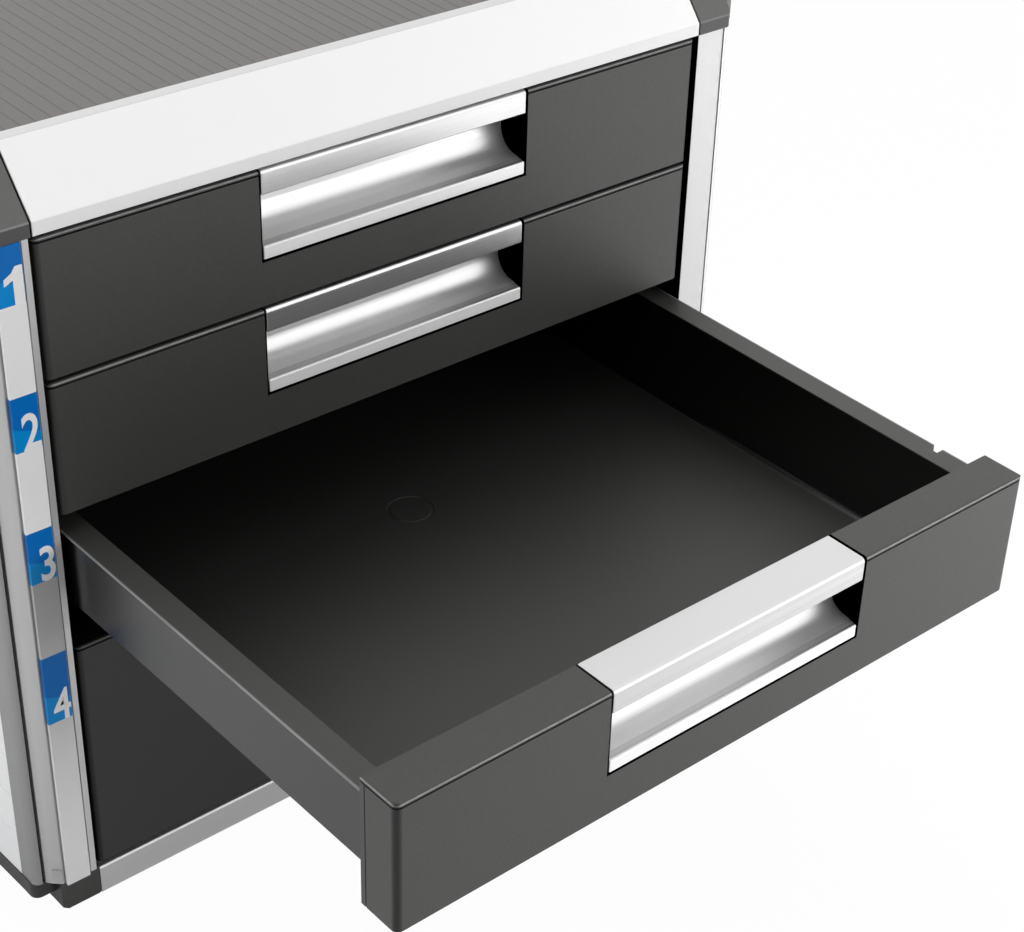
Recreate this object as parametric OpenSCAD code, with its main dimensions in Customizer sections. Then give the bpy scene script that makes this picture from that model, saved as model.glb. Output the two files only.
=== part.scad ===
// Desk file cabinet: four drawers behind an aluminium and plastic frame.
// X runs to the right, Y runs from the drawer fronts to the back, Z is up.
// The origin is the middle of the base's flat underside. Lengths are in millimetres.

/* [Cabinet] */
// Length of the aluminium cover over the top drawer, between the two end rails
cover_w = 262; // [200:1:400]
// Clearance between a closed tray and the back panel
rear_gap = 10.2; // [3:0.1:40]
// Height of the base, up to the feet of the posts
base_h = 13; // [11:0.5:20]
// Thickness of the plastic mouldings of the base and the top
shell_t = 2.2; // [1.6:0.1:3]

/* [Drawers] */
// Height from one single drawer to the next
unit_h = 48.2; // [42:0.1:70]
// Gap between two drawer fronts
front_gap = 1.5; // [1:0.1:4]
// Gap between the lowest front and the base
bottom_gap = 1.6; // [0.5:0.1:3]
// Gap between the top front and the cover's lip
top_gap = 1.6; // [1:0.1:4]
// Gap between a front and the post beside it
side_gap = 1.2; // [0.8:0.1:3]
// Extra gap above the double-height front
tall_gap = 1.8; // [0:0.1:3]
// Thickness of a drawer front, from face to back
front_d = 16; // [15.5:0.5:22]
// How far the fronts stand back from the cover's lip
front_set = 1.5; // [1:0.1:4]
// Radius of a front's upright corners
front_r = 2.2; // [1.5:0.1:5]
// Radius of the edge round a front's top
edge_r = 1.2; // [0.6:0.1:1.4]
// Wall thickness of a front
front_t = 2; // [1.6:0.1:2.4]
// How far a drawer can be pulled out
travel = 255; // [120:1:265]
// How far the third drawer stands out at rest
drawer_3_out = 168.3; // [0:0.1:250]

/* [Trays] */
// Inside length of a tray
tray_l = 300; // [280:1:303]
// Depth of a single tray, from rim to floor
tray_depth = 38.1; // [30:0.1:38.4]
// Wall thickness of a tray
tray_t = 1.8; // [1.4:0.1:2.2]
// Width of the flat rim along each side
rim_w = 9; // [8:0.1:12]
// How far the rim lies below the top of the front
rim_drop = 6.5; // [3:0.1:6.7]
// Height of the skirt that hangs from the rim and runs on the ledge
skirt_h = 25.6; // [20:0.1:27]
// How far the skirt stands in from the end of the front
skirt_set = 1.1; // [0.5:0.1:2]
// Radius where a tray's side meets its floor
tray_r = 3; // [1:0.1:6]
// Radius of the round moulding mark on the floor
mark_r = 8.5; // [5:0.1:12]
// Distance of the moulding mark behind the front
mark_y = 143.5; // [60:0.5:150]
// Length of the notch in the right rim
notch_l = 3.9; // [2:0.1:8]
// Distance of the notch behind the front
notch_set = 17.2; // [8:0.1:60]

/* [Handles] */
// Length of a handle
handle_l = 105.6; // [80:0.1:160]
// Height of a handle, from its top plate to its lower lip
handle_h = 30.6; // [27:0.1:34]
// Height of a handle's upper lip
handle_lip = 8.4; // [5:0.1:9]
// Height of a handle's lower lip
handle_foot = 4.5; // [3:0.1:6]
// Radius of the edge between a handle's top plate and its lip
handle_r = 1.5; // [0.4:0.1:1.6]
// Wall thickness of the handle's section
handle_t = 1.4; // [1.2:0.1:1.6]
// Gap round a handle in its pocket
handle_gap = 0.4; // [0.1:0.05:0.6]

/* [Posts] */
// Width of a post's front face
post_face = 11.65; // [10:0.05:16]
// Width across the slanted corner of a post
post_slant = 5.2; // [4:0.1:8]
// Depth of a post
post_d = 13; // [11:0.5:16]
// How far the posts stand back from the cover's lip
post_set = 1; // [0.5:0.1:3]
// Wall thickness of the aluminium posts
post_t = 1.4; // [1:0.1:2]
// Width of the label strip
label_w = 8.7; // [6:0.1:9]
// Thickness of the label strip
label_t = 1.3; // [0.8:0.1:1.6]

/* [Sides] */
// Slot between a post and the aluminium profile beside it
slot_w = 1.2; // [0.8:0.1:2]
// Thickness of the aluminium profile beside a post
profile_t = 2.9; // [2.4:0.1:5]
// How far that profile reaches along the side
profile_d = 8.9; // [7:0.1:14]
// Thickness of the white side panel
panel_t = 2; // [1.4:0.1:2.2]
// How far the side swells outward at its middle
bulge = 2; // [0:0.1:8]
// Height from one fine groove on the side to the next
rib_step = 17.4; // [10:0.1:30]

/* [Top] */
// Height of the cover's upright lip
lip_h = 4.6; // [3:0.1:8]
// Height of the top above the cover's lower edge
top_h = 23.8; // [20:0.1:30]
// Depth of the cover's slanted face
slope_d = 16; // [12:0.1:22]
// Width of the flat strip behind the slanted face
strip_w = 4.6; // [3:0.1:8]
// Sheet thickness of the aluminium cover
cover_t = 1.6; // [1.2:0.1:2]
// Width of an end rail at the front
rail_w = 15.65; // [13.8:0.05:20]
// Thickness of the top panel
top_t = 3; // [2.4:0.1:4]
// Distance between the fine grooves of the top panel
groove_step = 5; // [4:0.1:20]

/* [Hidden] */
$fn = 48;

charcoal = [0.20, 0.20, 0.195];
dark_grey = [0.30, 0.30, 0.30];
mid_grey = [0.48, 0.475, 0.465];
silver = [0.80, 0.81, 0.82];
white = [0.93, 0.93, 0.94];

bite = 1;              // how far a cutting body reaches past what it cuts
seat_gap = 0.3;        // clearance of parts that are slid together
side_segments = 12;    // facets along the swollen side

// Heights
rail_top = base_h - 1;
units = [1, 1, 1, 2];                              // heights of the drawers, from the top
all_units = units[0] + units[1] + units[2] + units[3];
cover_z = base_h + bottom_gap + all_units * unit_h - front_gap + top_gap;
top_z = cover_z + top_h;
post_l = cover_z - base_h;

// Widths, half of the cabinet
half_cover = cover_w / 2;
opening_half = half_cover + 0.65;                  // inner face of a post
front_half = opening_half - side_gap;              // end of a drawer front
skirt_half = front_half - skirt_set;               // outer face of a tray's skirt
inner_half = skirt_half - rim_w;                   // inner face of a tray's side
slant_x = opening_half + post_face;                // where the post's corner starts
post_out = slant_x + post_slant;                   // outer face of a post
profile_in = post_out + slot_w;
side_out = profile_in + profile_t;                 // outer face of the side, at its ends
block_out = slant_x + 1.3;                         // outer face of a corner block
trim_out = side_out + 0.3;                         // the base and the top stand just proud

// Depths, from the cover's lip
front_back = front_set + front_d;
tray_back = front_back + tray_l + tray_t;
back_t = 2.5;
back_inset = 3;                                    // the back panel stands in from the rear
body_d = tray_back + rear_gap + back_t + back_inset;
mid_y = body_d / 2;
post_back = post_set + post_d;
post_corner_y = post_set + post_slant * 0.94;      // end of the slanted corner
profile_front = post_corner_y;
profile_back = profile_front + profile_d;          // where the side panel starts
pan_front = post_back + 0.2;
block_front = post_set + 1;
back_y = body_d - back_inset;                      // outer face of the back panel

// Ledges that carry the drawers
ledge_t = 2;
ledge_w = rim_w;
ledge_front = front_back + 0.7;
ledge_gap = 0.25;
guide_h = 5;                                       // upstand that guides the tray
guide_t = 1.6;
stop_h = guide_h + 3;                              // bump that stops the tray
stop_d = 4;
stop_reach = 2;                                    // how far bump and web overlap in height
web_y = ledge_front + stop_d + travel + seat_gap;  // web of the tray that meets the bump

function drop(i) = units[i] > 1 ? tall_gap : 0;
function drawer_top(i) = cover_z - top_gap - unit_h * i - drop(i);
function front_height(i) = units[i] * unit_h - front_gap - drop(i);
function rim_z(i) = drawer_top(i) - rim_drop;
function floor_z(i) = rim_z(i) - tray_depth - (units[i] - 1) * unit_h + drop(i);
function ledge_z(i) = rim_z(i) - skirt_h - ledge_gap;
function arc(cx, cy, r, from, to, n) =
    [for (k = [0:n]) let (a = from + (to - from) * k / n) [cx + r * cos(a), cy + r * sin(a)]];
function reversed(p) = [for (k = [len(p) - 1:-1:0]) p[k]];

// Outline of the swollen side, at an offset from its outer face, front to back
function swell(y) = bulge * (1 - pow((y - mid_y) / (mid_y - profile_back), 2));
function side_line(offset, y0, y1) =
    [for (k = [0:side_segments]) let (y = y0 + (y1 - y0) * k / side_segments)
        [side_out + offset + max(0, swell(y)), y]];

// Extrudes a section drawn in Y and Z along X, centred
module along_x(length) {
    rotate([90, 0, 90]) linear_extrude(length, center = true) children();
}

// Extrudes a section drawn in X and Z from y0 to y1
module along_y(y0, y1) {
    translate([0, y1, 0]) rotate([90, 0, 0]) linear_extrude(y1 - y0) children();
}

// Places a piece that is drawn at the right front corner, measured from the lip
module at_corner(right, front) {
    translate([0, front ? -mid_y : mid_y, 0])
        mirror([right ? 0 : 1, 0, 0]) mirror([0, front ? 0 : 1, 0]) children();
}

module on_side(right) {
    translate([0, -mid_y, 0]) mirror([right ? 0 : 1, 0, 0]) children();
}

module box(x0, x1, y0, y1, z0, z1) {
    translate([x0, y0, z0]) cube([x1 - x0, y1 - y0, z1 - z0]);
}

// ---- Base ----

pan_half = block_out - 2.6;      // outer face of the pan's side wall
rim_low = base_h / 2;            // underside of the rim below the side panel
foot_r = 7;
foot_inset = 14;
foot_sink = 1.2;
foot_proud = 1;
nose_front = profile_front + 0.9;
nose_r = 3;

module pan_rim_half() {
    rim_line = side_line(0.3, pan_front, body_d - pan_front);
    inner_line = side_line(0.3 - shell_t, pan_front, body_d - pan_front);
    // top plate of the rim
    translate([0, 0, base_h - shell_t]) linear_extrude(shell_t)
        polygon(concat([[pan_half - shell_t, pan_front]], rim_line,
            [[pan_half - shell_t, body_d - pan_front]]));
    // outer wall of the rim
    translate([0, 0, rim_low]) linear_extrude(base_h - rim_low)
        polygon(concat(rim_line, reversed(inner_line)));
    // noses that carry the front and rear profiles
    for (rear = [0, 1])
        translate([0, rear * body_d, rim_low]) mirror([0, rear, 0])
            linear_extrude(base_h - rim_low)
                polygon(concat([[block_out, pan_front], [block_out, nose_front]],
                    arc(trim_out - nose_r, nose_front + nose_r, nose_r, -90, 0, 8),
                    [[trim_out, pan_front]]));
}

module base_pan() {
    color(dark_grey) translate([0, -mid_y, 0]) difference() {
        union() {
            box(-pan_half, pan_half, pan_front, body_d - pan_front, 0, shell_t + 0.2);
            for (side = [0, 1]) mirror([side, 0, 0]) {
                pan_rim_half();
                // side wall of the pan
                box(pan_half - shell_t, pan_half, pan_front, body_d - pan_front, 0, base_h);
                // wall below the side liner
                box(opening_half, opening_half + shell_t, pan_front, body_d - pan_front, 0, base_h);
            }
            // end walls and cross ribs
            for (y = [pan_front, body_d - pan_front - shell_t])
                box(-pan_half, pan_half, y, y + shell_t, 0, base_h - 2);
            for (k = [1:3])
                box(-opening_half, opening_half, body_d * k / 4 - 0.8, body_d * k / 4 + 0.8,
                    0, base_h - 4);
            for (x = [-half_cover / 2, 0, half_cover / 2])
                box(x - 0.8, x + 0.8, pan_front, body_d - pan_front, 0, base_h - 4);
        }
        for (x = [-1, 1], y = [pan_front + foot_inset, body_d - pan_front - foot_inset])
            translate([x * (half_cover - foot_inset), y, -bite])
                cylinder(r = foot_r + 0.2, h = bite + foot_sink);
    }
}

module rubber_feet() {
    color([0.08, 0.08, 0.08])
        for (x = [-1, 1], y = [pan_front + foot_inset, body_d - pan_front - foot_inset])
            translate([x * (half_cover - foot_inset), y - mid_y, -foot_proud])
                cylinder(r = foot_r, h = foot_proud + foot_sink);
}

block_in = half_cover - 0.8;     // inner face of a corner block, where the rails end

module corner_block(right, front) {
    color(charcoal) at_corner(right, front) linear_extrude(base_h)
        polygon([[block_in, block_front], [slant_x, block_front],
            [block_out, block_front + 1.4], [block_out, pan_front], [block_in, pan_front]]);
}

module base_front_rail() {
    rail_t = 1.5;
    color(silver) translate([0, -mid_y, 0]) along_x(2 * block_in)
        polygon([[block_front, 0], [block_front, rail_top], [pan_front, rail_top],
            [pan_front, rail_top - rail_t], [block_front + rail_t, rail_top - rail_t],
            [block_front + rail_t, rail_t], [pan_front, rail_t], [pan_front, 0]]);
}

module base_rear_rail() {
    color(dark_grey) translate([0, -mid_y, 0]) along_x(2 * block_in)
        polygon([[body_d - block_front, 0], [body_d - block_front, base_h],
            [body_d - pan_front, base_h], [body_d - pan_front, base_h - shell_t],
            [body_d - block_front - shell_t, base_h - shell_t],
            [body_d - block_front - shell_t, shell_t], [body_d - pan_front, shell_t],
            [body_d - pan_front, 0]]);
}

// ---- Posts, and the profiles that hold the side panels ----

label_seat = 0.7;                                  // depth of the label's channel
channel_in = opening_half + post_face - label_w - 0.7;

// Slanted corner of a post, slightly rounded outward, drawn in from its face
function post_corner(inset) = let (
    a = [slant_x - inset * 0.45, post_set + inset],
    b = [post_out - inset, post_corner_y + inset * 0.45],
    m = (a + b) / 2 + [0.5, -0.5])
    [for (k = [0:6]) let (t = k / 6) a * (1 - t) * (1 - t) + m * 2 * t * (1 - t) + b * t * t];

module post(right, front, labelled) {
    fin = 1.4;
    color(silver) at_corner(right, front) translate([0, 0, base_h]) linear_extrude(post_l)
        difference() {
            polygon(concat([[opening_half, post_back], [opening_half, post_set]],
                post_corner(0), [[post_out, post_back - fin],
                [profile_in, post_back - fin], [profile_in, post_back]]));
            polygon(concat([[opening_half + post_t, post_back - post_t],
                [opening_half + post_t, post_set + post_t]], post_corner(post_t),
                [[post_out - post_t, post_back - post_t]]));
            if (labelled)
                translate([channel_in, post_set - bite])
                    square([slant_x - channel_in + bite, bite + label_seat]);
        }
}

module label_strip() {
    color(white) at_corner(false, true)
        box(slant_x - label_w, slant_x, post_set + label_seat - label_t, post_set + label_seat,
            base_h - 0.6, cover_z - seat_gap);
}

// Clear end clip beside the foot of the label strip
module label_clip() {
    clip_h = 5.5;
    clip_t = 0.8;
    slant = [for (k = [1:4]) post_corner(0)[k]];
    color([0.85, 0.87, 0.88, 0.6]) at_corner(false, true) translate([0, 0, base_h + 1])
        linear_extrude(clip_h)
            polygon(concat(slant, [for (p = reversed(slant)) p + clip_t * [0.69, -0.72]]));
}

module side_profile(right, front) {
    tongue_in = profile_in - 0.6;
    tongue_out = side_out - panel_t - seat_gap;
    tongue_back = profile_back + 7;
    color(silver) at_corner(right, front) translate([0, 0, base_h]) linear_extrude(post_l)
        polygon(concat(arc(side_out - profile_t, profile_front + profile_t, profile_t, -90, 0, 10),
            [[side_out, profile_back], [tongue_out, profile_back], [tongue_out, tongue_back],
            [tongue_in, tongue_back], [tongue_in, post_back + 0.2],
            [profile_in, post_back + 0.2]]));
}

module side_panel(right) {
    y0 = profile_back;
    y1 = body_d - profile_back;
    rib_w = 0.8;
    rib_d = 0.35;
    color(white) on_side(right) difference() {
        translate([0, 0, base_h]) linear_extrude(post_l)
            polygon(concat(side_line(0, y0, y1), reversed(side_line(-panel_t, y0, y1))));
        for (z = [base_h + rib_step:rib_step:cover_z - rib_step / 2])
            translate([0, 0, z]) linear_extrude(rib_w)
                polygon(concat(side_line(bite, y0 - bite, y1 + bite),
                    reversed(side_line(-rib_d, y0 - bite, y1 + bite))));
    }
}

// Inner wall of the cabinet with one ledge for each drawer
module side_liner(right) {
    liner_t = 2;
    y1 = body_d - post_back - 0.2;
    ledge_in = opening_half - side_gap - skirt_set - ledge_w + 2.5;
    guide_x = (inner_half + tray_t + skirt_half - tray_t) / 2;
    color(dark_grey) on_side(right) {
        box(opening_half, opening_half + liner_t, post_back, y1, base_h, cover_z);
        for (i = [0:3]) {
            z = ledge_z(i);
            box(ledge_in, opening_half + bite, ledge_front, y1, z - ledge_t, z);
            box(guide_x - guide_t / 2, guide_x + guide_t / 2, ledge_front, y1, z - bite,
                z + guide_h);
            // bump that meets the tray's web when the drawer is pulled out
            box(ledge_in, guide_x + 2, ledge_front, ledge_front + stop_d, z - bite, z + stop_h);
        }
    }
}

module back_panel() {
    color(dark_grey) translate([0, -mid_y, 0])
        box(-opening_half, opening_half, back_y - back_t, back_y, base_h, cover_z);
}

module back_screws() {
    head_r = 3;
    head_h = 1.6;
    side_inset = 8;
    end_inset = 12;
    color(silver)
        for (x = [-1, 1], z = [base_h + end_inset, (base_h + cover_z) / 2, cover_z - end_inset])
            translate([x * (opening_half - side_inset), back_y - mid_y, z]) rotate([-90, 0, 0])
                cylinder(r = head_r, h = head_h);
}

// ---- Top ----

strip_back = slope_d + strip_w;
top_sink = 0.5;                   // the top panel lies just below the cover's strip
seat_z = top_h - top_sink - top_t;
seat_w = 5;
seat_t = 1.5;
rear_w = 8;

// Section of the cover: lip, slant and strip bent from one profile, with a seat behind
module cover_section() {
    run = [slope_d, top_h - lip_h];
    len = norm(run);
    n = [run[1], -run[0]] / len;
    s0 = (cover_t - cover_t * n[0]) / run[0];
    s1 = (top_h - cover_t - lip_h - cover_t * n[1]) / run[1];
    low = [cover_t, lip_h + cover_t * n[1] + s0 * run[1]];
    high = [cover_t * n[0] + s1 * run[0], top_h - cover_t];
    polygon([[0, 0], [0, lip_h], [slope_d, top_h], [strip_back, top_h], [strip_back, seat_z],
        [strip_back + seat_w, seat_z], [strip_back + seat_w, seat_z - seat_t],
        [strip_back - seat_t, seat_z - seat_t], [strip_back - seat_t, top_h - cover_t],
        high, low, [cover_t, cover_t], [slope_d / 2, cover_t], [slope_d / 2, 0]]);
}

module top_cover() {
    color(white) translate([0, -mid_y, cover_z]) along_x(cover_w - 2 * seat_gap)
        cover_section();
}

module top_rear_rail() {
    color(dark_grey) translate([0, -mid_y, cover_z]) along_x(cover_w - 2 * seat_gap)
        polygon([[body_d, 0], [body_d, top_h], [body_d - rear_w, top_h],
            [body_d - rear_w, seat_z], [body_d - rear_w - seat_w, seat_z],
            [body_d - rear_w - seat_w, seat_z - seat_t], [body_d - shell_t, seat_z - seat_t],
            [body_d - shell_t, 0]]);
}

// Plan of an end rail: narrow at the ends, then out to cover the side panel
function rail_plan(inset) = let (
    x = half_cover + rail_w - inset,
    out = trim_out - inset,
    y0 = inset,
    flare = nose_front - 1.2 + inset,
    front = concat([[half_cover + inset, y0]], arc(x - 2, y0 + 2, 2, -90, 0, 6),
        [[x, y0 + 3], [out - 1.4, flare], [out, flare + 1.8]]))
    concat(front, side_line(0.3 - inset, profile_back, body_d - profile_back),
        [for (p = reversed(front)) [p[0], body_d - p[1]]]);

module top_rail(right) {
    solid_front = slope_d;
    color(dark_grey) on_side(right) translate([0, 0, cover_z]) difference() {
        intersection() {
            linear_extrude(top_h) polygon(rail_plan(0));
            translate([half_cover + rail_w, 0, 0]) along_x(4 * rail_w)
                polygon([[0, 0], [0, lip_h], [slope_d, top_h], [body_d, top_h], [body_d, 0]]);
        }
        intersection() {
            translate([0, 0, -bite]) linear_extrude(top_h - shell_t + bite)
                polygon(rail_plan(shell_t));
            box(half_cover - bite, half_cover + 4 * rail_w, solid_front, body_d - solid_front,
                -2 * bite, top_h);
        }
    }
}

module top_panel() {
    panel_half = half_cover - 0.1;
    groove_w = 0.4;
    groove_d = 0.2;
    grooves = floor((panel_half - 2) / groove_step);
    color(mid_grey) translate([0, 0, cover_z + seat_z]) difference() {
        box(-panel_half, panel_half, strip_back - mid_y, mid_y - rear_w, 0, top_t);
        for (k = [-grooves:grooves])
            box(k * groove_step - groove_w / 2, k * groove_step + groove_w / 2,
                -mid_y, mid_y, top_t - groove_d, top_t + bite);
    }
}

// ---- Drawers ----

// Section of a tray, in X and Z: floor, side, flat rim and the skirt outside it
module tray_section(i) {
    z = rim_z(i);
    f = floor_z(i);
    side = concat([[0, f - tray_t]], arc(inner_half + tray_t - tray_r - tray_t, f + tray_r,
        tray_r + tray_t, -90, 0, 6),
        [[inner_half + tray_t, z - tray_t], [skirt_half - tray_t, z - tray_t],
        [skirt_half - tray_t, z - skirt_h], [skirt_half, z - skirt_h], [skirt_half, z],
        [inner_half, z]],
        arc(inner_half - tray_r, f + tray_r, tray_r, 0, -90, 6), [[0, f]]);
    polygon(concat(side, [for (p = reversed(side)) if (p[0] > 0) [-p[0], p[1]]]));
}

module drawer_tray(i, out) {
    z = rim_z(i);
    f = floor_z(i);
    notch_y = front_back + notch_set;
    notch_in = 3.2;
    notch_h = 7;
    mark_d = 0.3;
    mark_x = -2.5;
    mark_line = 1.3;
    channel_h = (skirt_h - guide_h) / 2;
    color(charcoal) translate([0, -mid_y - out, 0]) difference() {
        union() {
            along_y(front_back, tray_back) tray_section(i);
            // front and rear walls, and the closed rear ends of the side channels
            for (y = [front_back, tray_back - tray_t])
                box(-inner_half - bite, inner_half + bite, y, y + tray_t, f - tray_t, z);
            box(-skirt_half, skirt_half, tray_back - tray_t, tray_back, z - channel_h, z);
            // webs across the side channels, which meet the bumps of the ledges
            for (side = [-1, 1])
                translate([side * (inner_half + skirt_half) / 2, web_y + tray_t / 2,
                    z - tray_t / 2 - (skirt_h - stop_h + stop_reach) / 2])
                    cube([rim_w - tray_t, tray_t, skirt_h - stop_h + stop_reach - tray_t],
                        center = true);
        }
        translate([skirt_half - notch_in, notch_y, z - notch_h])
            cube([notch_in + bite, notch_l, notch_h + bite]);
        translate([mark_x, front_back + mark_y, f - mark_d]) difference() {
            cylinder(r = mark_r, h = mark_d + bite);
            translate([0, 0, -bite]) cylinder(r = mark_r - mark_line, h = mark_d + 3 * bite);
        }
    }
}

pocket_half = handle_l / 2 + handle_gap;           // half of the pocket's length
pocket_d = front_d - front_t + 0.3;                // leaves a thin wall behind the handle
pocket_h = handle_h + handle_gap;

module front_outline(inset, y0) {
    x = front_half - inset;
    r = front_r - min(inset, front_r - 0.5);
    polygon(concat([[-x, front_d - y0], [-x, inset + r]],
        [for (p = reversed(arc(x - r, inset + r, r, -90, 0, 8))) [-p[0], p[1]]],
        arc(x - r, inset + r, r, -90, 0, 8), [[x, front_d - y0]]));
}

// Body of a front with a rounded edge along the top of its face and ends
module front_body(h) {
    edge_x = front_half - edge_r;
    intersection() {
        linear_extrude(h) front_outline(0, 0);
        along_x(2 * front_half + bite) polygon(concat([[front_d + bite, h],
            [front_d + bite, -bite], [0, -bite]], arc(edge_r, h - edge_r, edge_r, 180, 90, 5)));
        along_y(-bite, front_d + bite) polygon(concat([[-front_half, -bite]],
            arc(-edge_x, h - edge_r, edge_r, 180, 90, 5),
            arc(edge_x, h - edge_r, edge_r, 90, 0, 5), [[front_half, -bite]]));
    }
}

module drawer_front(i, out) {
    h = front_height(i);
    groove_w = 0.6;
    groove_d = 0.5;
    seam_w = 0.4;
    seam_d = 0.3;
    seam_y = front_d - 2.4;
    color(charcoal) translate([0, front_set - mid_y - out, drawer_top(i) - h]) difference() {
        front_body(h);
        // hollow underside, left full round the handle's pocket
        difference() {
            translate([0, 0, -bite]) linear_extrude(h - front_t + bite)
                front_outline(front_t, front_t);
            box(-pocket_half - front_t, pocket_half + front_t, 0, front_d,
                h - pocket_h - front_t, h);
        }
        // pocket for the handle, and the seat of its top plate on the back wall
        box(-pocket_half, pocket_half, -bite, pocket_d, h - pocket_h, h + bite);
        box(-pocket_half, pocket_half, -bite, front_d + bite, h - handle_t, h + bite);
        // fine groove below the rounded edge
        translate([0, 0, h - edge_r - groove_w]) linear_extrude(groove_w) difference() {
            translate([-front_half - bite, -bite])
                square([2 * (front_half + bite), front_d + bite]);
            front_outline(groove_d, 0);
        }
        // upright seam near the back of each end
        for (side = [0, 1]) mirror([side, 0, 0])
            box(front_half - seam_d, front_half + bite, seam_y, seam_y + seam_w, -bite,
                h - edge_r);
    }
}

// Section of the handle, in Y and Z, from the face and the top plate down:
// upper lip, hollow for the fingers, shelf and lower lip
module handle_section() {
    back = pocket_d - handle_gap;
    hollow_r = 8;
    shelf = handle_h - handle_foot;
    hollow_z = -shelf + 1.1 + hollow_r;
    inner = arc(back - handle_t - hollow_r, hollow_z, hollow_r, 0, -90, 8);
    outer = arc(back - handle_t - hollow_r, hollow_z, hollow_r + handle_t, -90, 0, 8);
    polygon(concat(arc(handle_r, -handle_r, handle_r, 90, 180, 5),
        [[0, -handle_lip], [handle_t, -handle_lip], [handle_t, -handle_t],
        [back - handle_t, -handle_t]], inner, [[0, -shelf], [0, -handle_h],
        [handle_t, -handle_h], [handle_t, -shelf - handle_t]], outer,
        [[back, -handle_t], [front_d, -handle_t], [front_d, 0]]));
}

module drawer_handle(i, out) {
    color(silver) translate([0, front_set - mid_y - out, drawer_top(i)])
        along_x(handle_l) handle_section();
}

base_pan();
base_front_rail();
base_rear_rail();
corner_block(false, true);  // corner_block_front_left
corner_block(true, true);  // corner_block_front_right
corner_block(false, false);  // corner_block_rear_left
corner_block(true, false);  // corner_block_rear_right
rubber_feet();
post(false, true, true);  // post_front_left
post(true, true, false);  // post_front_right
post(false, false, false);  // post_rear_left
post(true, false, false);  // post_rear_right
side_profile(false, true);  // side_profile_front_left
side_profile(true, true);  // side_profile_front_right
side_profile(false, false);  // side_profile_rear_left
side_profile(true, false);  // side_profile_rear_right
side_panel(false);  // side_panel_left
side_panel(true);  // side_panel_right
side_liner(false);  // side_liner_left
side_liner(true);  // side_liner_right
back_panel();
back_screws();
top_rail(false);  // top_rail_left
top_rail(true);  // top_rail_right
top_cover();
top_panel();
top_rear_rail();
label_strip();
label_clip();
drawer_tray(0, 0);  // drawer_1_tray
drawer_front(0, 0);  // drawer_1_front
drawer_handle(0, 0);  // drawer_1_handle
drawer_tray(1, 0);  // drawer_2_tray
drawer_front(1, 0);  // drawer_2_front
drawer_handle(1, 0);  // drawer_2_handle
drawer_tray(2, drawer_3_out);  // drawer_3_tray
drawer_front(2, drawer_3_out);  // drawer_3_front
drawer_handle(2, drawer_3_out);  // drawer_3_handle
drawer_tray(3, 0);  // drawer_4_tray
drawer_front(3, 0);  // drawer_4_front
drawer_handle(3, 0);  // drawer_4_handle
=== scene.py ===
import math

import bmesh
import bpy
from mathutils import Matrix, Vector


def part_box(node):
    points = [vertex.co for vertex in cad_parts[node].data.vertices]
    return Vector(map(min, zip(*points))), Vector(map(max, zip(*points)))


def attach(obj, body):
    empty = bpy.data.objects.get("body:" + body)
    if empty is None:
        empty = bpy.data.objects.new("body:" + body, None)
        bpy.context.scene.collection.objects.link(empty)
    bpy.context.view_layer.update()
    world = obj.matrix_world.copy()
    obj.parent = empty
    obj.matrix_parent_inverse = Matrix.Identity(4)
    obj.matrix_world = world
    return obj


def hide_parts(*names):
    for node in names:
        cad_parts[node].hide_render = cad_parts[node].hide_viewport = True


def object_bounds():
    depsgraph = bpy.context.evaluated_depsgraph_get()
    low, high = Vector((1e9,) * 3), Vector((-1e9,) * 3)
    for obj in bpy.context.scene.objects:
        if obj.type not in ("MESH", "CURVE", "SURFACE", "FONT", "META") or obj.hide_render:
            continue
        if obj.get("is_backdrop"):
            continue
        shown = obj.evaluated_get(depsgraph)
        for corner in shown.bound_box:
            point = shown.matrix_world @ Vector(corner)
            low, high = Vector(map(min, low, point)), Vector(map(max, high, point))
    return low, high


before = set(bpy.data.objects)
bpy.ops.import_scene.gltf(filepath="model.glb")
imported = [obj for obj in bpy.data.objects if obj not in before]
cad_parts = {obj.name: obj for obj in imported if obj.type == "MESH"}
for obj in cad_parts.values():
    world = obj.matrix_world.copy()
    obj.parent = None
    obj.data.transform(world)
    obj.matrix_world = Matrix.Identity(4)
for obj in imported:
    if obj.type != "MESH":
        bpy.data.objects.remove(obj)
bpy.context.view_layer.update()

scene = bpy.context.scene
scene.view_settings.view_transform = "Standard"

# ---- Camera ----
# The photograph looks down on the open drawer from the left. The long lens is
# shifted a little, because the picture is a crop.
camera_data = bpy.data.cameras.new("camera")
camera_data.sensor_width = 36
camera_data.lens = 77.08
camera_data.shift_x = -0.1310
camera_data.shift_y = 0.0423
camera_data.clip_start = 0.05
camera_data.clip_end = 20
camera = bpy.data.objects.new("camera", camera_data)
camera.location = (-0.3930, -0.6816, 0.5490)
camera.rotation_euler = [math.radians(a) for a in (55.8954, -3.4065, -42.7161)]
scene.collection.objects.link(camera)
scene.camera = camera

# ---- Studio ----
# A pale floor, and soft lamps: the strongest behind and above, a low one at the front
# right, one over the table there, and weak ones on the left and overhead. Rays that
# look straight at the floor see it nearly white, and reflections see it partly so.


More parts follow.
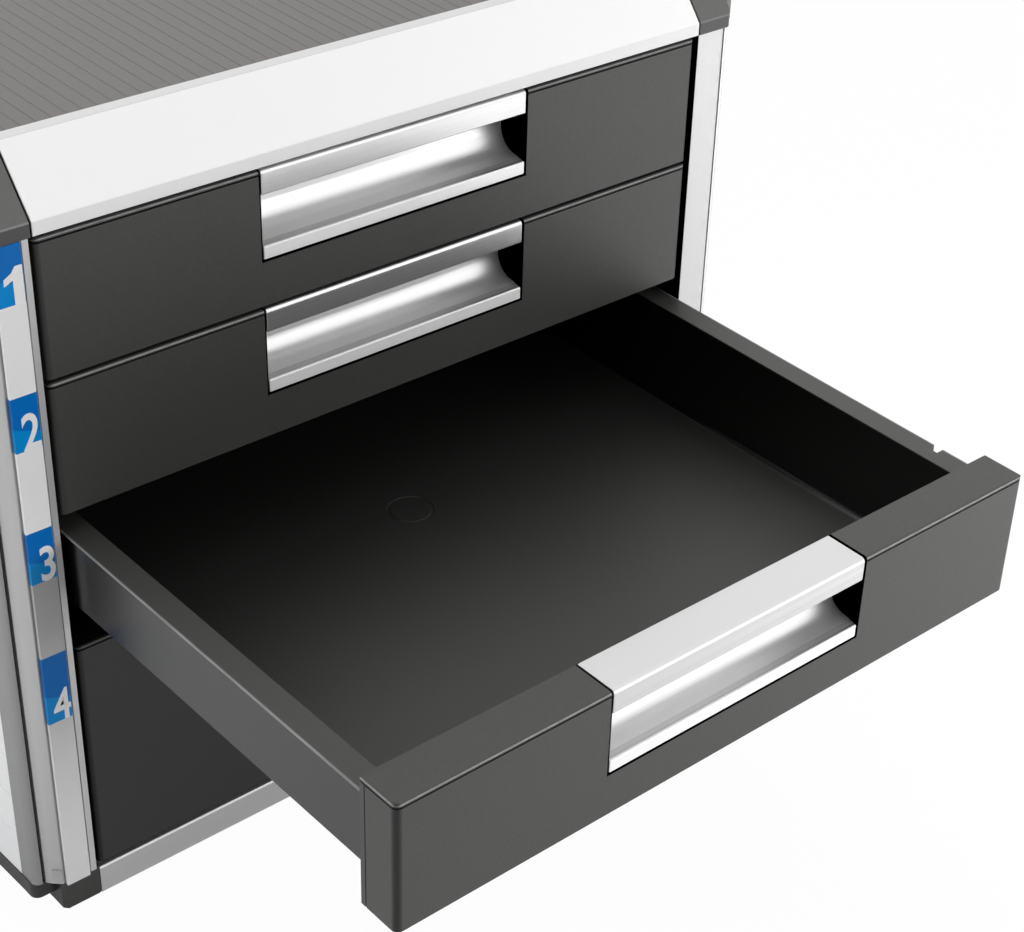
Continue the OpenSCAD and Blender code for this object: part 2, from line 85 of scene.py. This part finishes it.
class Wire:
    """An output socket in a tree of nodes. Arithmetic on it adds Math nodes."""

    def __init__(self, tree, socket):
        self.tree, self.socket = tree, socket

    def node(self, kind, settings=None, sockets=None, out=0):
        """A new node in the same tree, and one of its outputs."""
        made = self.tree.nodes.new(kind)
        for name, value in (settings or {}).items():
            setattr(made, name, value)
        for name, value in (sockets or {}).items():
            self.feed(made.inputs[name], value)
        return Wire(self.tree, made.outputs[out])

    def feed(self, socket, value):
        """Links a wire or a list of wires to a socket, or sets its constant."""
        if isinstance(value, list):
            for wire in value:
                self.tree.links.new(socket, wire.socket)
        elif isinstance(value, Wire):
            self.tree.links.new(socket, value.socket)
        else:
            socket.default_value = value

    def math(self, operation, *values):
        return self.node("ShaderNodeMath", {"operation": operation}, dict(enumerate(values)))

    def part(self, axis):
        return self.node("ShaderNodeSeparateXYZ", None, {0: self}, "XYZ".index(axis))

    x = property(lambda self: self.part("X"))
    y = property(lambda self: self.part("Y"))
    z = property(lambda self: self.part("Z"))

    def vector(self, *parts):
        return self.node("ShaderNodeCombineXYZ", None, dict(enumerate(parts)))

    def scaled(self, *factors):
        return self.node("ShaderNodeMapping", None, {"Vector": self, "Scale": factors})

    def noise(self, scale, detail=2.0, rough=0.5):
        return self.node("ShaderNodeTexNoise", None, {
            "Vector": self, "Scale": scale, "Detail": detail, "Roughness": rough})

    def bump(self, strength, distance):
        """A normal, with this value as the height."""
        return self.node("ShaderNodeBump", None, {
            "Height": self, "Strength": strength, "Distance": distance})

    def blend(self, low, high):
        """A colour between two others, by this value."""
        return self.node("ShaderNodeMix", {"data_type": "RGBA"}, {0: self, 6: low, 7: high}, 2)

    def within(self, low, high):
        """One where this value lies between two others, and zero elsewhere."""
        return (self > low) * (self < high)

    def near(self, middle, reach):
        """One where this value is closer to a middle than a reach."""
        return abs(self - middle) < reach

    def ramp(self, *stops):
        """A grey by this value, from stops that each hold a place and a level."""
        made = self.tree.nodes.new("ShaderNodeValToRGB")
        self.feed(made.inputs[0], self)
        elements = made.color_ramp.elements
        for k, (place, level) in enumerate(stops):
            stop = elements[k] if k < 2 else elements.new(place)
            stop.position, stop.color = place, (level, level, level, 1)
        return Wire(self.tree, made.outputs[0])

    def __add__(self, other):
        return self.math("ADD", self, other)

    def __sub__(self, other):
        return self.math("SUBTRACT", self, other)

    def __rsub__(self, other):
        return self.math("SUBTRACT", other, self)

    def __mul__(self, other):
        return self.math("MULTIPLY", self, other)

    def __truediv__(self, other):
        return self.math("DIVIDE", self, other)

    def __mod__(self, other):
        return self.math("FLOORED_MODULO", self, other)

    def __lt__(self, other):
        return self.math("LESS_THAN", self, other)

    def __gt__(self, other):
        return self.math("GREATER_THAN", self, other)

    def __abs__(self):
        return self.math("ABSOLUTE", self)

    __radd__, __rmul__ = __add__, __mul__


def fresh(name, **constants):
    """A new material, its shader's sockets with their constant values, and its place."""
    material = bpy.data.materials.new(name)
    material.use_nodes = True
    tree = material.node_tree
    shader = tree.nodes["Principled BSDF"].inputs
    for socket, value in constants.items():
        shader[socket.replace("_", " ")].default_value = value
    place = Wire(tree, tree.nodes.new("ShaderNodeTexCoord").outputs["Object"])
    return material, shader, place


def mixed(place, share, other):
    """Mixes a share of another shader into the material's own."""
    own = Wire(place.tree, place.tree.nodes["Principled BSDF"].outputs[0])
    place.feed(place.tree.nodes["Material Output"].inputs["Surface"],
               place.node("ShaderNodeMixShader", None, {0: share, 1: own, 2: other}))


def ray(wire, kind):
    """One for rays of this kind, and zero for others."""
    return wire.node("ShaderNodeLightPath", out="Is %s Ray" % kind)


reach, ground = 6, -0.001
floor_mesh = bpy.data.meshes.new("floor")
floor_mesh.from_pydata([(-reach, -reach, ground), (reach, -reach, ground),
                        (reach, reach, ground), (-reach, reach, ground)], [], [(0, 1, 2, 3)])
floor = bpy.data.objects.new("floor", floor_mesh)
scene.collection.objects.link(floor)
floor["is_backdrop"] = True
pale, shader, place = fresh("floor_pale", Roughness=0.9, Base_Color=(0.88, 0.88, 0.88, 1))
seen = ray(place, "Camera") + ray(place, "Transmission") + ray(place, "Glossy") * 0.22
mixed(place, seen * 0.97, place.node(
    "ShaderNodeEmission", None, {"Color": (1, 1, 1, 1), "Strength": 1.0}))
floor_mesh.materials.append(pale)

world = bpy.data.worlds.new("studio")
scene.world = world
world.use_nodes = True
sky = world.node_tree
air = Wire(sky, sky.nodes.new("ShaderNodeTexCoord").outputs["Generated"])
dome = (air.z * 0.5 + 0.5).ramp((0.0, 0.05), (0.5, 0.09), (1.0, 0.36))
dome = ray(air, "Glossy").blend(dome, (1.2, 1.2, 1.2, 1))
direct = ray(air, "Camera") + ray(air, "Transmission")
air.feed(sky.nodes["Background"].inputs["Color"], direct.blend(dome, (1, 1, 1, 1)))


def lamp(name, place, target, size, power):
    """A soft lamp that is turned to a target, and that no reflection shows."""
    data = bpy.data.lights.new(name, "AREA")
    data.shape = "RECTANGLE"
    data.size, data.size_y = size
    data.energy = power
    made = bpy.data.objects.new(name, data)
    made.location = place
    made.visible_glossy = False
    made.rotation_euler = (Vector(target) - Vector(place)).to_track_quat("-Z", "Y").to_euler()
    scene.collection.objects.link(made)


lamp("front", (0.80, -1.60, 0.42), (0, -0.17, 0.15), (1.2, 0.5), 8)
lamp("behind", (0.30, 0.35, 1.75), (0, -0.2, 0.2), (1.0, 0.8), 15)
lamp("left", (-0.90, 0.00, 0.45), (-0.45, 0.00, 0), (0.8, 0.8), 4)
lamp("above", (0.50, -0.90, 1.70), (0, -0.1, 0.2), (1.2, 1.0), 2.5)
lamp("table", (0.80, -0.85, 0.38), (0.80, -0.85, 0), (1.0, 0.8), 9)

# ---- Base ----
# A shallow moulded pan with a dark rim below the sides, a moulded rail behind it and a
# block at each corner. It stands on four rubber feet. The pan's plastic also serves the
# liners, the back and the rear rails.


def grey(value, tint=(0, 0, 0)):
    """A colour from a grey of 0 to 255 as it shows on a screen."""
    return tuple(((value + t) / 255) ** 2.2 for t in tint) + (1,)


def gapped(place, mask):
    """Paints the surface nearly black where the mask is one: painted shade, as in a narrow gap.
    """
    mixed(place, mask, place.node("ShaderNodeBsdfDiffuse", None, {"Color": grey(5)}))


def moulded(name, shade, roughness, grain=0.35, gap=None, edge=None, painted_highlight=0, matt=None):
    """Plastic from a finely eroded mould: a small grain, and a slow change of gloss. The
    masks are gaps painted nearly black as painted shade, edges with a painted highlight,
    and matt areas with their colour, which may hold painted shade, and roughness."""
    material, shader, place = fresh(name, IOR=1.55)
    warm, spread = (0, 0, -1.5), 7
    slow = place.noise(9, 3)
    specks = place.noise(700, 1)
    tone = slow * 0.4 + specks * 0.6
    colour = tone.blend(grey(shade - spread, warm), grey(shade + spread, warm))
    gloss = roughness - 0.05 + slow * 0.1
    if matt:
        where, matt_colour, matt_roughness = matt
        where = where(place)
        colour = where.blend(colour, matt_colour(place))
        gloss = gloss + where * (matt_roughness - roughness)
    if edge:
        colour = edge(place).blend(colour, grey(shade + painted_highlight))
    place.feed(shader["Base Color"], colour)
    place.feed(shader["Roughness"], gloss)
    place.feed(shader["Normal"], place.noise(1700, 2, 0.6).bump(grain, 0.0001))
    if gap:
        gapped(place, gap(place))
    return material


def shown(piece, body, material):
    """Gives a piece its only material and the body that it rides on."""
    piece.data.materials.clear()
    piece.data.materials.append(material)
    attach(piece, body)


def eased(name, node, width, body, material, segments=2):
    """Stands for a CAD piece, with its edges rounded as a mould or a file leaves them."""
    shape = bmesh.new()
    shape.from_mesh(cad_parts[node].data)
    bmesh.ops.remove_doubles(shape, verts=shape.verts, dist=1e-6)
    bmesh.ops.dissolve_limit(shape, angle_limit=math.radians(0.05), verts=shape.verts,
                             edges=shape.edges)
    bmesh.ops.triangulate(shape, faces=shape.faces)
    for face in shape.faces:
        face.smooth = True
    data = bpy.data.meshes.new(name)
    shape.to_mesh(data)
    shape.free()
    piece = bpy.data.objects.new(name, data)
    scene.collection.objects.link(piece)
    edges = piece.modifiers.new("edges", "BEVEL")
    edges.width, edges.segments = width, segments
    edges.limit_method, edges.angle_limit = "ANGLE", math.radians(25)
    edges.miter_outer = "MITER_ARC"
    piece.modifiers.new("shading", "WEIGHTED_NORMAL")
    shown(piece, body, material)
    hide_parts(node)


def repeated(name, build, sizes, material, rounded=True):
    """A plain mesh from a Geometry Nodes tree, which has a named input for each size."""
    tree = bpy.data.node_groups.new(name, "GeometryNodeTree")
    tree.interface.new_socket("Shape", in_out="OUTPUT", socket_type="NodeSocketGeometry")
    keys = {size: tree.interface.new_socket(
        size, in_out="INPUT", socket_type="NodeSocketInt" if isinstance(value, int)
        else "NodeSocketFloat").identifier for size, value in sizes.items()}
    given = tree.nodes.new("NodeGroupInput").outputs
    shape = build(**{size: Wire(tree, given[size]) for size in sizes})
    shape = shape.node("GeometryNodeRealizeInstances", None, {0: shape})
    shape = shape.node("GeometryNodeSetMaterial", None, {0: shape, "Material": material})
    shape.feed(tree.nodes.new("NodeGroupOutput").inputs[0], shape)
    maker = bpy.data.objects.new(name, bpy.data.meshes.new(name))
    scene.collection.objects.link(maker)
    nodes = maker.modifiers.new("repeat", "NODES")
    nodes.node_group = tree
    for size, value in sizes.items():
        nodes[keys[size]] = value
    data = bpy.data.meshes.new_from_object(
        maker.evaluated_get(bpy.context.evaluated_depsgraph_get()))
    maker.modifiers.clear()
    maker.data = data
    data.set_sharp_from_angle(angle=math.radians(30))
    for face in data.polygons:
        face.use_smooth = rounded
    return maker


def moved(shape, place, turn=(0, 0, 0)):
    """A shape in a Geometry Nodes tree, turned and then moved to a place."""
    return shape.node("GeometryNodeTransform", None, {
        "Geometry": shape, "Translation": shape.vector(*place), "Rotation": turn})


pan_plastic = moulded("base_plastic", shade=30, roughness=0.45)
block_plastic = moulded("block_plastic", shade=44, roughness=0.42)
shown(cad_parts["base_pan"], "cabinet", pan_plastic)
eased("rear_base_rail", "base_rear_rail", 0.0004, "cabinet", pan_plastic)
corners = ("front_left", "front_right", "rear_left", "rear_right")
for corner in corners:
    eased("block_" + corner, "corner_block_" + corner, 0.0008, "cabinet",
          block_plastic, 3)

rubber, shader, place = fresh("foot_rubber", Roughness=0.85)
place.feed(shader["Base Color"], place.noise(300).blend(grey(28), grey(40)))
low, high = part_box("rubber_feet")


def feet(radius, height, bottom, span_x, span_y):
    """Four discs with a tapered sole."""
    sole = radius.node("GeometryNodeMeshCone", None, {
        "Vertices": 40, "Radius Top": radius, "Radius Bottom": radius * 0.86,
        "Depth": height * 0.4})
    pad = radius.node("GeometryNodeMeshCylinder", None, {
        "Vertices": 40, "Radius": radius, "Depth": height * 0.6})
    pad = moved(pad, (0.0, 0.0, height * 0.7))
    foot = radius.node("GeometryNodeJoinGeometry", None, {0: [sole, pad]})
    spots = radius.node("GeometryNodeMeshGrid", None, {
        "Size X": span_x, "Size Y": span_y, "Vertices X": 2, "Vertices Y": 2})
    spots = moved(spots, (0.0, 0.0, bottom))
    return radius.node("GeometryNodeInstanceOnPoints", None, {"Points": spots, "Instance": foot})


foot_radius = 0.007
piece = repeated("feet", feet, {
    "radius": foot_radius, "height": high.z - low.z, "bottom": low.z,
    "span_x": high.x - low.x - foot_radius * 2,
    "span_y": high.y - low.y - foot_radius * 2}, rubber)
shown(piece, "cabinet", rubber)
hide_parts("rubber_feet")

# ---- Aluminium frame ----
# Four drawn posts, a slim profile beside each, and a rail between the front blocks.
# All are anodised, with the faint lines of the drawing die along their length.


def drawn(name, along, shade, spread, roughness=0.42, metal=0.9, swell=None, plain=None,
          dark=None, painted_highlight=None, gap=None):
    """Aluminium with the die's fine lines along one axis. The masks are a swell in the
    surface, areas without lines, dark lines and painted shade, painted highlights, and
    hairline gaps painted nearly black as painted shade."""
    material, shader, place = fresh(name)
    fine, long = 1500, 4
    stretch = [long if axis == along else fine for axis in "XYZ"]
    lines = place.scaled(*stretch).noise(1.0, 3, 0.65)
    if plain:
        calm = plain(place)
        lines = lines * (1 - calm) + calm * 0.5
    colour = lines.blend(grey(shade - spread), grey(shade + spread))
    if dark:
        colour = dark(place).blend(colour, grey(shade * 0.72))
    if painted_highlight:
        colour = painted_highlight(place).blend(colour, grey(254))
    height = lines * 0.00003
    if swell:
        height = height + swell(place)
    slow = place.noise(14)
    place.feed(shader["Base Color"], colour)
    place.feed(shader["Roughness"], roughness - 0.04 + lines * 0.05 + slow * 0.03)
    place.feed(shader["Metallic"], metal(place) if callable(metal) else metal)
    place.feed(shader["Normal"], height.bump(1.0, 1.0))
    if gap:
        gapped(place, gap(place))
    return material


strip_low, strip_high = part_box("label_strip")
post_low, post_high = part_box("post_front_left")
profile_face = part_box("side_profile_front_right")[0].y + 0.001
rail_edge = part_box("base_front_rail")[1].z - 0.0011


def post_swell(place):
    """The slanted faces of the posts swell a little, beside the index strip's channel."""
    rise, bend = 0.00016, 26
    off = abs(place.x) + (post_low.x + strip_low.x) / 2
    return (abs(place.x) > -strip_low.x) * (rise - off * off * bend)


def post_shade(place):
    """Dark lines at the strip's edges, a shaded left slant and a slightly shaded right post."""
    seam, right_post = 0.0003, 0.13
    left_line = place.x.near(strip_low.x - seam, 0.00035)
    right_line = place.x.near(strip_high.x + seam, 0.0003)
    slant = place.x < strip_low.x - seam * 2
    return left_line + right_line + slant * 0.42 + (place.x > right_post) * 0.15


def post_gap(place):
    """Painted shade, nearly black, on the posts' inner sides and on a line in the slot beside the
    right post.
    """
    skin, slot_line = 0.0002, 0.001
    return (abs(place.x) < skin - post_high.x) + (place.x > -post_low.x - slot_line)


# The posts carry painted shade: darker slants and lines, and nearly black inner sides.
upright = drawn("upright_aluminium", "Z", shade=208, spread=7, metal=0.62, swell=post_swell,
                dark=post_shade, gap=post_gap)
# Painted highlight: the front faces of the right profiles are painted nearly white.
sidelong = drawn("profile_aluminium", "Z", shade=152, spread=5, painted_highlight=lambda place: (
    place.x > 0) * (place.y < profile_face) * 0.7)
# Painted highlight: the front base rail's top edge is painted nearly white.
crosswise = drawn("crosswise_aluminium", "X", shade=202, spread=4, roughness=0.34, metal=0.8,
                  painted_highlight=lambda place: place.z > rail_edge)
for corner in corners:
    eased("upright_" + corner, "post_" + corner, 0.00035, "cabinet",
          upright)
    eased("profile_" + corner, "side_profile_" + corner, 0.0003, "cabinet",
          sidelong)
eased("front_base_rail", "base_front_rail", 0.0007, "cabinet", crosswise)

# ---- Sides and back ----
# White plastic panels that swell a little, held by the profiles, with faint level
# grooves. Dark moulded liners with the drawers' ledges stand inside them. Six screws
# hold the dark back.
panel_white, shader, place = fresh("panel_white", Roughness=0.42)
cool = (0, 1, 2)
place.feed(shader["Base Color"], place.noise(6).blend(grey(228, cool), grey(236, cool)))
place.feed(shader["Normal"], place.noise(1500).bump(0.15, 0.00005))
for side in ("left", "right"):
    eased("panel_" + side, "side_panel_" + side, 0.00012, "cabinet",
          panel_white)
    shown(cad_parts["side_liner_" + side], "cabinet", pan_plastic)
eased("back", "back_panel", 0.0005, "cabinet", pan_plastic)

zinc, shader, place = fresh("screw_zinc", Metallic=1.0)
patches = place.noise(900)
place.feed(shader["Base Color"], patches.blend(grey(170), grey(205)))
place.feed(shader["Roughness"], 0.3 + patches * 0.1)
low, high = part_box("back_screws")


def screws(head, rise, slot, span_x, span_z, back, middle):
    """Two rows of domed heads, each with a cross recess."""
    rim = head.node("GeometryNodeMeshCylinder", None, {
        "Vertices": 40, "Radius": head, "Depth": rise * 0.5})
    rim = moved(rim, (0.0, 0.0, rise * 0.25))
    dome = head.node("GeometryNodeMeshCone", None, {
        "Vertices": 40, "Radius Top": head * 0.68, "Radius Bottom": head * 0.96,
        "Depth": rise * 0.6})
    dome = moved(dome, (0.0, 0.0, rise * 0.4))
    arm = head.node("GeometryNodeMeshCube", None, {"Size": head.vector(head * 1.1, slot, rise)})
    arms = [moved(arm, (0.0, 0.0, rise), (0, 0, turn)) for turn in (0, math.pi / 2)]
    whole = head.node("GeometryNodeMeshBoolean", {"operation": "UNION", "solver": "EXACT"},
                      {"Mesh 2": [rim, dome]})
    whole = head.node("GeometryNodeMeshBoolean", {"operation": "DIFFERENCE", "solver": "EXACT"},
                      {"Mesh 1": whole, "Mesh 2": arms})
    spots = head.node("GeometryNodeMeshGrid", None, {
        "Size X": span_x, "Size Y": span_z, "Vertices X": 2, "Vertices Y": 3})
    spots = moved(spots, (0.0, back, middle), (math.pi / 2, 0, 0))
    return head.node("GeometryNodeInstanceOnPoints", None, {
        "Points": spots, "Instance": whole, "Rotation": (-math.pi / 2, 0, 0)})


head_radius = 0.003
piece = repeated("screws", screws, {
    "head": head_radius, "rise": high.y - low.y, "slot": 0.0006,
    "span_x": high.x - low.x - head_radius * 2, "span_z": high.z - low.z - head_radius * 2,
    "back": low.y, "middle": (low.z + high.z) / 2}, zinc)
shown(piece, "cabinet", zinc)
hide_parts("back_screws")

# ---- Drawers ----
# Each is a moulded tray with flat rims and a skirt outside each side, fixed behind a
# hollow moulded front. Both are charcoal plastic, with a matt floor in the tray and a
# fine groove round the front's top. The tray slides on the liners' ledges.


def corner_shade(place, low):
    """Rises to one at a front's left upright edge, which lies in the shade."""
    steepness = 420
    beside = (low.x - place.x) * steepness + 1
    behind = (low.y - place.y) * steepness + 1
    return place.math("MAXIMUM", beside, 0.0) * place.math("MAXIMUM", behind, 0.0)


tray_wall, rim_edge, rim_top, skirt_space = 0.0018, 0.0005, 0.0004, 0.006
gap_beside_pull, gap_below_pull = 0.0009, 0.0008
for number in (1, 2, 3, 4):
    drawer = "drawer_%d" % number
    pull_low, pull_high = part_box(drawer + "_handle")
    front_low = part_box(drawer + "_front")[0]
    tray_low, tray_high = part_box(drawer + "_tray")

    def front_gap(place):
        """Painted shade, nearly black: the gap round the pull, the groove below the top, and the
        shaded corner.
        """
        pull = ((abs(place.x) < pull_high.x + gap_beside_pull)
                * (place.z > pull_low.z - gap_below_pull))
        groove = place.z.within(pull_high.z - 0.0018, pull_high.z - 0.0013)
        return pull + groove + corner_shade(place, front_low)

    def front_light(place):
        """A painted highlight along the eased top edge, uneven."""
        line = place.z.within(pull_high.z - 0.0008, pull_high.z - 0.0004)
        return line * (place.scaled(300, 900, 900).noise(1.0) + 0.35)

    def rim_light(place):
        """A painted highlight along the outer edges of the rims, uneven."""
        line = (abs(place.x) > tray_high.x - rim_edge) * (place.z > tray_high.z - 0.0006)
        return line * (place.scaled(900, 60, 900).noise(1.0, 3) + 0.2)

    def on_floor(place):
        return place.z < tray_low.z + tray_wall + 0.0002

    def matt_area(place):
        """The floor between the skirts, and the tops of the rims."""
        between = abs(place.x) < tray_high.x - skirt_space
        return between * on_floor(place) + (place.z > tray_high.z - rim_top)

    def matt_colour(place):
        """Painted shade: the floor darkens from 55 mm behind its front to 145 mm."""
        back = on_floor(place) * ((place.y - tray_low.y) * 11 - 0.6)
        return back.blend(grey(58, (0, 0, -1.5)), grey(36, (0, 0, -1)))

    tray_plastic = moulded("tray_plastic_%d" % number, shade=16, roughness=0.24, grain=0.2,
                           edge=rim_light, painted_highlight=130, matt=(matt_area, matt_colour, 0.5))
    # Painted shade: the lowest front is painted darker than the others.
    front_plastic = moulded("front_plastic_%d" % number, shade=24 if number == 4 else 56,
                            roughness=0.46, grain=0.6, gap=front_gap, edge=front_light, painted_highlight=88)
    eased(drawer + "_shell", drawer + "_tray", 0.0003, drawer, tray_plastic)
    eased(drawer + "_face", drawer + "_front", 0.0006, drawer,
          front_plastic, 3)

# ---- Pulls ----
# A drawn aluminium profile, cut to length and let into each front: a flat top plate, a
# lip, a hollow for the fingers, a shelf, and a foot with two fine lines along it.
plate, lip_depth = 0.0016, 0.0012
foot_height, foot_depth = 0.0046, 0.0006
line_step, line_width = 0.0016, 0.0002
for number in (1, 2, 3, 4):
    drawer = "drawer_%d" % number
    low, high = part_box(drawer + "_handle")

    def front_part(place, depth):
        """The part of the pull that is no further behind its front than this."""
        return place.y < low.y + depth

    def hollow(place):
        return (place.z < high.z - plate) * (place.y > low.y + lip_depth)

    def pull_metal(place):
        """Less like a mirror on the foot, and a little less in the hollow."""
        foot = (place.z < low.z + foot_height) * front_part(place, foot_depth)
        return 0.9 - foot * 0.7 - hollow(place) * 0.17

    def pull_lines(place):
        """Two lines along the foot."""
        up = place.z - low.z
        return (up < 0.0034) * ((up + 0.0006) % line_step < line_width) * 0.4

    def pull_bright(place):
        """Painted highlights: the hollow, the foot, and the edges of the lip and the shelf are
        painted lighter.
        """
        up = place.z - low.z
        recess = hollow(place) * ((up > 0.0052) * 0.6 + 0.3)
        lip_edge = place.z.near(high.z - plate / 2, 0.00035) * front_part(place, 0.0013) * 0.8
        foot = (up < 0.0040) * front_part(place, foot_depth) * 0.9
        shelf_edge = up.near(0.0044, 0.0004) * front_part(place, 0.0008)
        return recess + lip_edge + foot + shelf_edge

    aluminium = drawn(
        "pull_aluminium_%d" % number, "X", shade=208, spread=16, roughness=0.30,
        metal=pull_metal, plain=lambda place: (place.z > high.z - 0.0004) * 0.85,
        dark=pull_lines, painted_highlight=pull_bright)
    eased(drawer + "_pull", drawer + "_handle", 0.0004, drawer,
          aluminium, 3)

# ---- Top ----
# Dark moulded end rails cap a near-white aluminium cover. A mid-grey plastic panel lies
# behind it in a shallow seat, with a fine dark groove every five millimetres.
cover_low, cover_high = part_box("top_cover")
rail_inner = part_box("top_rail_right")[0].x
lip_height = 0.0046
crease = cover_low.z + lip_height


def cover_gap(place):
    """Painted shade, nearly black, in the gap beside the cover, fainter on the right."""
    hairline = 0.0004
    beside = (abs(place.x) < rail_inner + hairline) * (place.z < cover_high.z - hairline)
    return beside * ((place.x < 0) * 0.5 + 0.5)


def crease_light(place):
    """A painted highlight along the crease between an end rail's slanted and upright faces,
    fainter on the right.
    """
    line = place.z.near(crease, 0.0003) * (place.y < cover_low.y + 0.0006)
    return line * ((place.x < 0) * 0.4 + 0.6)


def upright_face(place):
    return (place.z < crease) * (place.y < cover_low.y + 0.001)


# Painted shade: the end rails' upright faces are painted darker, more so on the right.
def upright_colour(place):
    return (place.x > 0).blend(grey(70), grey(62))


rail_plastic = moulded(
    "rail_plastic", shade=88, roughness=0.42, gap=cover_gap, edge=crease_light, painted_highlight=34,
    matt=(upright_face, upright_colour, 0.42))
for side in ("left", "right"):
    eased("end_rail_" + side, "top_rail_" + side, 0.0008, "cabinet",
          rail_plastic, 3)
eased("rear_rail", "top_rear_rail", 0.0006, "cabinet", pan_plastic)

cover_white, shader, place = fresh("cover_white", Roughness=0.34, Metallic=0.0)
# Painted shade: the upright lip and the flat top are painted darker than the slope.
slope = place.noise(5).blend(grey(249), grey(254))
lip = place.z < crease - 0.0001
flat = place.z > cover_high.z - 0.00025
place.feed(shader["Base Color"], flat.blend(lip.blend(slope, grey(239)), grey(214)))
eased("cover", "top_cover", 0.0004, "cabinet", cover_white)

ribbed, shader, place = fresh("ribbed_grey", Roughness=0.45)
step, groove_width = 0.005, 0.0004
from_groove = abs((place.x + step / 2) % step - step / 2)
groove = from_groove < groove_width / 2
tone = place.noise(7, 3) * 0.4 + place.noise(900) * 0.6
base = tone.blend(grey(88, (4, 1, -1)), grey(102, (4, 1, -1)))
place.feed(shader["Base Color"], groove.blend(base, grey(93, (3, 1, -1))))
place.feed(shader["Normal"], place.noise(2200).bump(0.2, 0.00006))
low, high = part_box("top_panel")


def ribs(step, gap, depth, count, half, thick, middle, top):
    """Flat bars with eased edges side by side on a slab, and a wider one at each end."""
    line = step.node("GeometryNodeCurvePrimitiveLine", None, {
        "Start": step.vector(0.0, depth * -0.5, 0.0), "End": step.vector(0.0, depth * 0.5, 0.0)})
    outline = step.node("GeometryNodeCurvePrimitiveQuadrilateral", None, {
        "Width": step - gap, "Height": gap * 3})
    outline = step.node("GeometryNodeFilletCurve", {"mode": "POLY"}, {
        "Curve": outline, "Radius": gap * 0.3, "Count": 2})
    bar = step.node("GeometryNodeCurveToMesh", None, {
        "Curve": line, "Profile Curve": outline, "Fill Caps": True})
    bar = moved(bar, (0.0, middle, top - gap * 1.5))
    spots = step.node("GeometryNodeMeshLine", None, {
        "Count": count, "Start Location": step.vector((1 - count) * step * 0.5, 0.0, 0.0),
        "Offset": step.vector(step, 0.0, 0.0)})
    edge = half - (step * count + gap) * 0.5
    ends = step.node("GeometryNodeMeshLine", None, {
        "Count": 2, "Start Location": step.vector(edge * 0.5 - half, 0.0, 0.0),
        "Offset": step.vector(half * 2 - edge, 0.0, 0.0)})
    dip = gap * 0.25
    slab = step.node("GeometryNodeMeshCube", None, {
        "Size": step.vector(half * 2, depth, thick - dip)})
    slab = moved(slab, (0.0, middle, top - (thick + dip) * 0.5))
    inner = step.node("GeometryNodeInstanceOnPoints", None, {"Points": spots, "Instance": bar})
    outer = step.node("GeometryNodeInstanceOnPoints", None, {
        "Points": ends, "Instance": bar, "Scale": step.vector(edge / (step - gap), 1.0, 1.0)})
    return step.node("GeometryNodeJoinGeometry", None, {0: [slab, inner, outer]})


piece = repeated("top_ribs", ribs, {
    "step": step, "gap": groove_width, "depth": high.y - low.y, "count": 50, "half": high.x,
    "thick": high.z - low.z, "middle": (low.y + high.y) / 2, "top": high.z}, ribbed, False)
shown(piece, "cabinet", ribbed)
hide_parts("top_panel")

# ---- Index strip ----
# A thin printed card strip lies in the left post's channel. Four blue fields with plain
# numerals mark the drawers, and a small clear clip is pressed in beside its foot.
card, shader, place = fresh("index_card", Roughness=0.32, Specular_IOR_Level=0.2)
fields = [(0.2362, 0.2560), (0.1873, 0.2061), (0.1390, 0.1581), (0.0832, 0.1100)]
level = place.z
pale_share, slant, slant_start = 0.36, 0.35, 0.0486
inside = pale_part = 0
for low, high in fields:
    band = level.within(low, high)
    below = level + place.x * slant < low + (high - low) * pale_share - slant_start
    inside = band + inside
    pale_part = band * below + pale_part
blue = pale_part.blend((0.0, 0.145, 0.500, 1), (0.0, 0.245, 0.640, 1))
# Painted shade: the card darkens from its foot to just below the third field, and is light above
# it.
paper_with_painted_shade = (level * 3.9).ramp(*((at, grey(shade)[0]) for at, shade in (
    (0.0, 228), (0.26, 222), (0.34, 206), (0.44, 186), (0.54, 176), (0.60, 236))))
place.feed(shader["Base Color"], inside.blend(paper_with_painted_shade, blue))
eased("index_strip", "label_strip", 0.00015, "cabinet", card)

white_print, shader, place = fresh("numeral_white", Roughness=0.4)
place.feed(shader["Base Color"], place.noise(500, 1).blend(grey(232), grey(240)))
print_depth, numeral_width = 0.00004, 0.72
one = [(6.2, 0), (6.2, 12.3), (3.9, 12.3), (2.6, 10.4), (0, 8.9), (0, 6.6), (2.9, 8.0), (2.9, 0)]
for number, (low, high) in enumerate(fields, 1):
    font = bpy.data.curves.new("numeral", "FONT")
    font.body = str(number)
    font.size = 0.0175
    font.offset = 0.0003
    font.align_x, font.align_y = "LEFT", "BOTTOM_BASELINE"
    font.extrude = print_depth
    text = bpy.data.objects.new("numeral", font)
    scene.collection.objects.link(text)
    bpy.context.view_layer.update()
    data = bpy.data.meshes.new_from_object(
        text.evaluated_get(bpy.context.evaluated_depsgraph_get()))
    bpy.data.objects.remove(text)
    if number == 1:
        data.clear_geometry()
        data.from_pydata([(x / 1000 / numeral_width, y / 1000, print_depth) for x, y in one],
                         [], [range(len(one))])
    edge = max(vertex.co.x for vertex in data.vertices)
    foot = min(vertex.co.y for vertex in data.vertices)
    for vertex in data.vertices:
        across, up, out = vertex.co
        vertex.co = (strip_high.x - 0.0002 + (across - edge) * numeral_width,
                     strip_low.y - 0.00003 - out, low - 0.0001 + up - foot)
    piece = bpy.data.objects.new("numeral_%d" % number, data)
    scene.collection.objects.link(piece)
    shown(piece, "cabinet", white_print)

clear, shader, place = fresh("clip_clear", Roughness=0.15, Alpha=0.55)
place.feed(shader["Base Color"], place.noise(400, 1).blend(grey(200), grey(222)))
eased("clip", "label_clip", 0.0002, "cabinet", clear)

low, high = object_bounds()
